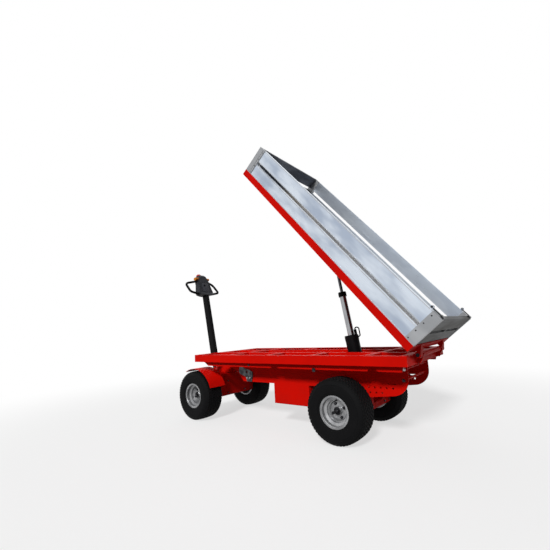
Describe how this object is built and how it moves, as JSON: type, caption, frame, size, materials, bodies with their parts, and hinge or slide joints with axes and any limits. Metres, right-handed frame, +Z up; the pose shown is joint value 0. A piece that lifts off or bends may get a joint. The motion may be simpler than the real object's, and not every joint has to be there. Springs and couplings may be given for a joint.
{
  "type": "tipping platform truck",
  "caption": "Walk-behind battery platform truck: open grid deck on turf tyres, steered front axle with tiller, and a planked bed tipped to the rear by a telescopic ram.",
  "frame": {"origin": "centre of the bounding box in X and Y, on the floor under the tyres", "axes": "+X forward to the tiller, +Y to the left of travel, +Z up"},
  "size_m": [2.786, 0.943, 2.4274],
  "materials": {
    "red_paint": "glossy bright red paint",
    "black_paint": "satin black paint",
    "black_plastic": "dark grey moulded plastic",
    "hose_rubber": "black rubber hose",
    "stop_red": "glossy red plastic",
    "rocker_amber": "glossy amber plastic",
    "grey_steel": "grey zinc plated steel",
    "stage_steel": "ground steel tube",
    "rod_steel": "dark polished rod",
    "aluminium": "mill finish aluminium plank",
    "post_grey": "dull anodised corner profile",
    "tyre_rubber": "black turf tyre",
    "rim_silver": "silver painted steel rim"
  },
  "bodies": {
    "chassis": {"deck_side_rails": "red_paint", "deck_cross_members": "red_paint", "deck_runners": "red_paint", "deck_skirts": "red_paint", "chassis_side_left": "red_paint", "chassis_side_right": "red_paint", "chassis_floor": "red_paint", "chassis_cross_members": "red_paint", "hydraulic_pack": "black_paint", "battery_box": "red_paint", "rear_drive_housing": "red_paint", "turntable_upper": "red_paint", "bed_hinge_shaft": "red_paint", "side_catch": "grey_steel"},
    "front_axle": {"front_drive_housing": "red_paint", "turntable_lower": "red_paint", "fender_left": "red_paint", "fender_right": "red_paint", "tiller_bracket": "red_paint"},
    "tiller": {"tiller_arm": "black_paint", "control_head": "black_plastic", "handle_loops": "black_plastic", "stop_button": "stop_red", "speed_rockers": "rocker_amber"},
    "bed": {"bed_side_rails": "red_paint", "bed_end_rails": "red_paint", "bed_runners": "red_paint", "bed_cross_members": "red_paint", "bed_floor": "aluminium", "side_boards_left": "aluminium", "side_boards_right": "aluminium", "headboard": "aluminium", "corner_posts": "post_grey"},
    "tailgate": {"tailgate": "aluminium", "tailgate_straps": "grey_steel"},
    "ram_sleeve": {"ram_sleeve": "black_paint", "ram_hose": "hose_rubber"},
    "ram_stage": {"ram_stage": "stage_steel"},
    "ram_rod": {"ram_rod": "rod_steel"},
    "wheel_front_left": {"tyre_front_left": "tyre_rubber", "rim_front_left": "rim_silver"},
    "wheel_front_right": {"tyre_front_right": "tyre_rubber", "rim_front_right": "rim_silver"},
    "wheel_rear_left": {"tyre_rear_left": "tyre_rubber", "rim_rear_left": "rim_silver"},
    "wheel_rear_right": {"tyre_rear_right": "tyre_rubber", "rim_rear_right": "rim_silver"}
  },
  "joints": [
    {"name": "bed_tilt", "type": "hinge", "parent": "chassis", "child": "bed", "pos_m": [-1.17694, 0, 0.61], "axis": [0, 1, 0], "range_deg": [0, 50.74]},
    {"name": "tailgate_swing", "type": "hinge", "parent": "bed", "child": "tailgate", "pos_m": [-1.33541, 0, 0.90661], "axis": [0, 1, 0], "range_deg": [0, 90]},
    {"name": "ram_swing", "type": "hinge", "parent": "chassis", "child": "ram_sleeve", "pos_m": [-0.62244, 0, 0.36], "axis": [0, 1, 0], "range_deg": [0, 57.77]},
    {"name": "ram_stage_slide", "type": "slide", "parent": "ram_sleeve", "child": "ram_stage", "axis": [0.1443, 0, 0.9895], "range_m": [-0.2303, 0]},
    {"name": "ram_rod_slide", "type": "slide", "parent": "ram_stage", "child": "ram_rod", "axis": [0.1443, 0, 0.9895], "range_m": [-0.27918, 0]},
    {"name": "steering", "type": "hinge", "parent": "chassis", "child": "front_axle", "pos_m": [0.93456, 0, 0.44], "axis": [0, 0, 1], "range_deg": [-35, 35]},
    {"name": "tiller_lift", "type": "hinge", "parent": "front_axle", "child": "tiller", "pos_m": [1.09356, 0, 0.42], "axis": [0, 1, 0], "range_deg": [0, 60]},
    {"name": "wheel_front_left_spin", "type": "hinge", "parent": "front_axle", "child": "wheel_front_left", "pos_m": [0.93456, 0.36385, 0.2285], "axis": [0, 1, 0], "continuous": true},
    {"name": "wheel_front_right_spin", "type": "hinge", "parent": "front_axle", "child": "wheel_front_right", "pos_m": [0.93456, -0.36385, 0.2285], "axis": [0, 1, 0], "continuous": true},
    {"name": "wheel_rear_left_spin", "type": "hinge", "parent": "chassis", "child": "wheel_rear_left", "pos_m": [-0.60744, 0.36385, 0.2285], "axis": [0, 1, 0], "continuous": true},
    {"name": "wheel_rear_right_spin", "type": "hinge", "parent": "chassis", "child": "wheel_rear_right", "pos_m": [-0.60744, -0.36385, 0.2285], "axis": [0, 1, 0], "continuous": true}
  ],
  "couplings": [
    {"joint": "ram_swing", "follows": "bed_tilt", "ratio": 1.1374},
    {"joint": "ram_stage_slide", "follows": "bed_tilt", "m_per_rad": -0.25981},
    {"joint": "ram_rod_slide", "follows": "bed_tilt", "m_per_rad": -0.315}
  ]
}
